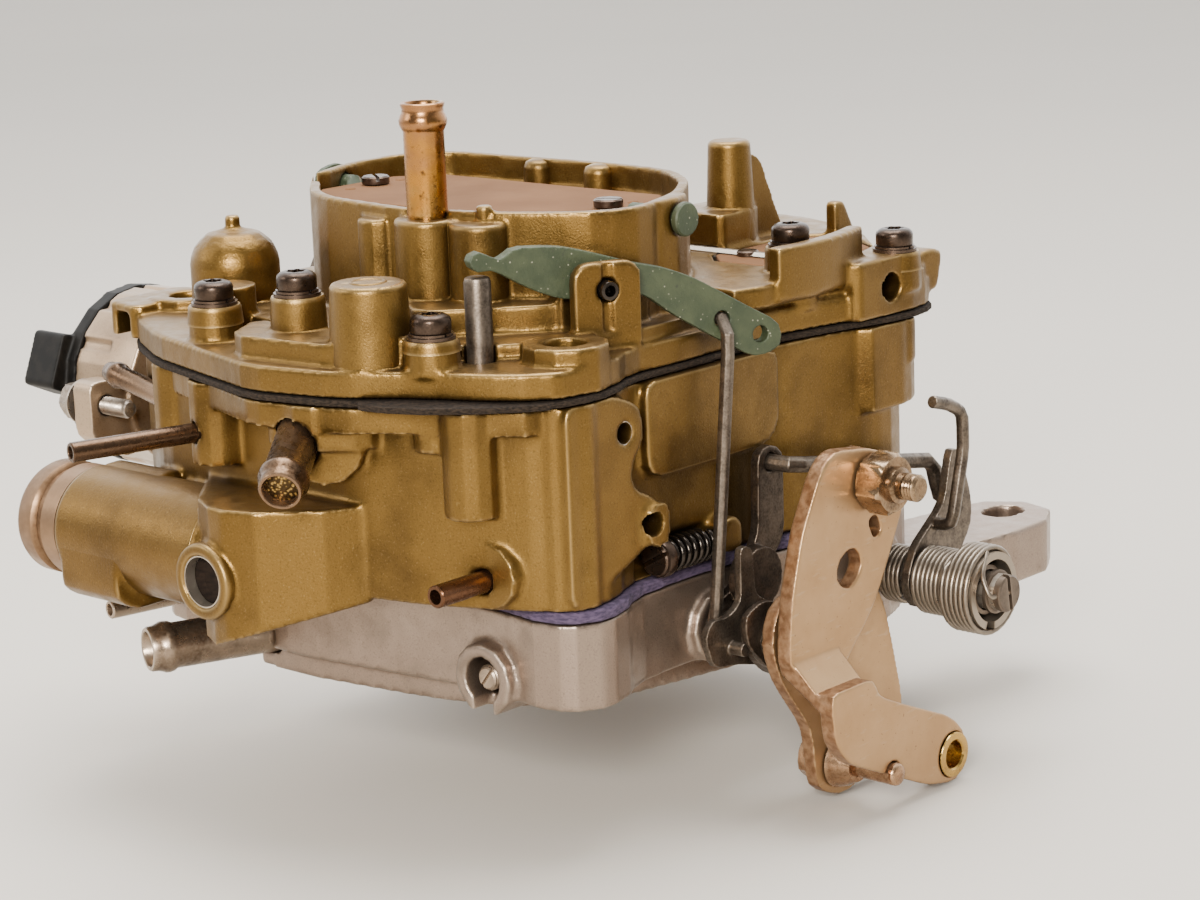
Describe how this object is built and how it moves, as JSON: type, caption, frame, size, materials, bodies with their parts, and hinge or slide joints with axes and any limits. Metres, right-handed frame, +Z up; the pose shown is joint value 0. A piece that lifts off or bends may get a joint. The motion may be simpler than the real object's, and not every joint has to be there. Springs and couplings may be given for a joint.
{
  "type": "carburetor",
  "caption": "Spread-bore carburetor with a float bowl, choke tower, air valves, side throttle linkage, pump lever, tubes and mounting flange.",
  "frame": {"origin": "centre of the mounting bolt pattern, on the face of the base flange", "axes": "+X towards the throttle-lever side, -Y towards the front (choke and fuel inlet end), +Z up out of the base flange"},
  "size_m": [0.1949, 0.208, 0.1429],
  "materials": {
    "gold_casting": "cast, gold chromate",
    "cast_aluminium": "cast",
    "dark_steel": "dark, oiled",
    "bright_steel": "machined",
    "zinc_steel": "yellow zinc plated",
    "brass": "satin",
    "copper": "dull copper",
    "green_coating": "speckled dry coating",
    "black_gasket": "matt pressed fibre",
    "purple_insulator": "matt pressed fibre",
    "black_plastic": "matt",
    "bronze_plate": "dull",
    "float_foam": "matt closed-cell foam"
  },
  "bodies": {
    "root": {"throttle_body": "cast_aluminium", "insulator_gasket": "purple_insulator", "float_bowl": "gold_casting", "air_horn_gasket": "black_gasket", "air_horn": "gold_casting", "vent_tube": "brass", "front_vacuum_tube": "brass", "thin_vacuum_tube": "dark_steel", "stub_tube": "brass", "pcv_tube": "zinc_steel", "base_vacuum_tube": "dark_steel", "bleed_tube": "copper", "fuel_inlet_nut": "zinc_steel", "inlet_port_plug": "black_plastic", "cover_screw_front_centre": "dark_steel", "cover_screw_front_left": "dark_steel", "cover_screw_front_right": "dark_steel", "cover_screw_rear_right": "dark_steel", "cover_screw_side_right": "dark_steel", "choke_housing": "cast_aluminium", "choke_cover": "black_plastic", "choke_adjusting_screw": "zinc_steel", "pump_pivot_pin": "dark_steel", "needle_seat": "brass", "float_hinge_pin": "bright_steel", "secondary_spring_inner": "dark_steel", "secondary_spring_outer": "dark_steel", "idle_screw_spring": "dark_steel"},
    "primary_throttle": {"primary_shaft": "bright_steel", "primary_plate_right": "brass", "primary_plate_left": "brass", "pump_throttle_lever": "zinc_steel", "throttle_cam": "zinc_steel", "throttle_lever_inner": "zinc_steel", "throttle_lever_outer": "zinc_steel", "throttle_stud": "zinc_steel", "throttle_stud_nut": "zinc_steel", "cable_bushing": "brass", "lever_bolt": "dark_steel"},
    "secondary_actuating_lever": {"secondary_actuator": "dark_steel"},
    "secondary_link": {"link_rod": "dark_steel"},
    "secondary_throttle": {"secondary_shaft": "bright_steel", "secondary_plate_right": "brass", "secondary_plate_left": "brass", "secondary_lever": "dark_steel"},
    "accelerator_pump_lever": {"pump_lever": "green_coating"},
    "accelerator_pump_rod": {"pump_rod": "dark_steel"},
    "accelerator_pump_plunger": {"pump_plunger": "dark_steel"},
    "choke_valve": {"choke_shaft": "green_coating", "choke_plate": "bronze_plate"},
    "choke_link": {"choke_rod": "dark_steel"},
    "choke_coil_arm": {"choke_coil_lever": "zinc_steel"},
    "air_valve": {"air_valve_shaft": "bright_steel", "air_valve_plate_right": "bronze_plate", "air_valve_plate_left": "bronze_plate"},
    "float_arm": {"float": "float_foam"},
    "inlet_needle": {"float_needle": "brass"},
    "idle_screw": {"idle_speed_screw": "zinc_steel"},
    "mixture_screw_right": {"mixture_needle_right": "brass"},
    "mixture_screw_left": {"mixture_needle_left": "brass"}
  },
  "joints": [
    {"name": "throttle_primary", "type": "hinge", "parent": "root", "child": "primary_throttle", "pos_m": [0, -0.034, 0.0115], "axis": [-1, 0, 0], "range_deg": [0, 75]},
    {"name": "actuating_lever_pivot", "type": "hinge", "parent": "root", "child": "secondary_actuating_lever", "pos_m": [0.06, -0.034, 0.0115], "axis": [-1, 0, 0], "range_deg": [0, 23]},
    {"name": "link_rod_pivot", "type": "hinge", "parent": "secondary_actuating_lever", "child": "secondary_link", "pos_m": [0.06, -0.0204, 0.043], "axis": [1, 0, 0], "range_deg": [0, 7]},
    {"name": "throttle_secondary", "type": "hinge", "parent": "root", "child": "secondary_throttle", "pos_m": [0, 0.018, 0.0115], "axis": [-1, 0, 0], "range_deg": [0, 70]},
    {"name": "pump_lever_pivot", "type": "hinge", "parent": "root", "child": "accelerator_pump_lever", "pos_m": [0.05, -0.0575, 0.0835], "axis": [0.9171, -0.3987, 0], "range_deg": [0, 17]},
    {"name": "pump_rod_pivot", "type": "hinge", "parent": "accelerator_pump_lever", "child": "accelerator_pump_rod", "pos_m": [0.06029, -0.03384, 0.0745], "axis": [-0.9171, 0.3987, 0], "range_deg": [0, 15.6]},
    {"name": "pump_plunger_slide", "type": "slide", "parent": "root", "child": "accelerator_pump_plunger", "axis": [0, 0, -1], "range_m": [0, 0.0067]},
    {"name": "choke_valve_pivot", "type": "hinge", "parent": "root", "child": "choke_valve", "pos_m": [0, -0.033, 0.0932], "axis": [1, 0, 0], "range_deg": [0, 80]},
    {"name": "choke_rod_pivot", "type": "hinge", "parent": "choke_valve", "child": "choke_link", "pos_m": [-0.0505, -0.019, 0.0882], "axis": [-1, 0, 0], "range_deg": [0, 80]},
    {"name": "choke_coil_lever_pivot", "type": "hinge", "parent": "root", "child": "choke_coil_arm", "pos_m": [-0.066, -0.057, 0.051], "axis": [1, 0, 0], "range_deg": [0, 80]},
    {"name": "air_valve_pivot", "type": "hinge", "parent": "root", "child": "air_valve", "pos_m": [0, 0.008, 0.0775], "axis": [-1, 0, 0], "range_deg": [0, 66]},
    {"name": "float_pivot", "type": "hinge", "parent": "root", "child": "float_arm", "pos_m": [0, -0.0795, 0.06], "axis": [-1, 0, 0], "range_deg": [0, 10]},
    {"name": "inlet_needle_slide", "type": "slide", "parent": "root", "child": "inlet_needle", "axis": [0, 0, 1], "range_m": [0, 0.00067]},
    {"name": "idle_speed_screw_turn", "type": "hinge", "parent": "root", "child": "idle_screw", "pos_m": [0.058, -0.04, 0.0295], "axis": [0, 1, 0], "range_deg": [-360, 360]},
    {"name": "mixture_needle_right_turn", "type": "hinge", "parent": "root", "child": "mixture_screw_right", "pos_m": [0.038, -0.07, 0.0088], "axis": [0, 1, 0], "range_deg": [-360, 360]},
    {"name": "mixture_needle_left_turn", "type": "hinge", "parent": "root", "child": "mixture_screw_left", "pos_m": [-0.038, -0.07, 0.0088], "axis": [0, 1, 0], "range_deg": [-360, 360]}
  ],
  "couplings": [
    {"joint": "actuating_lever_pivot", "follows": "throttle_primary", "ratio": 0.3},
    {"joint": "link_rod_pivot", "follows": "throttle_primary", "ratio": 0.0893},
    {"joint": "throttle_secondary", "follows": "throttle_primary", "ratio": 0.9333},
    {"joint": "pump_lever_pivot", "follows": "throttle_primary", "ratio": 0.2253},
    {"joint": "pump_rod_pivot", "follows": "throttle_primary", "ratio": 0.2063},
    {"joint": "pump_plunger_slide", "follows": "throttle_primary", "m_per_rad": 0.00504},
    {"joint": "choke_rod_pivot", "follows": "choke_coil_lever_pivot", "ratio": 1},
    {"joint": "choke_valve_pivot", "follows": "choke_coil_lever_pivot", "ratio": 1},
    {"joint": "inlet_needle_slide", "follows": "float_pivot", "m_per_rad": 0.0038}
  ]
}
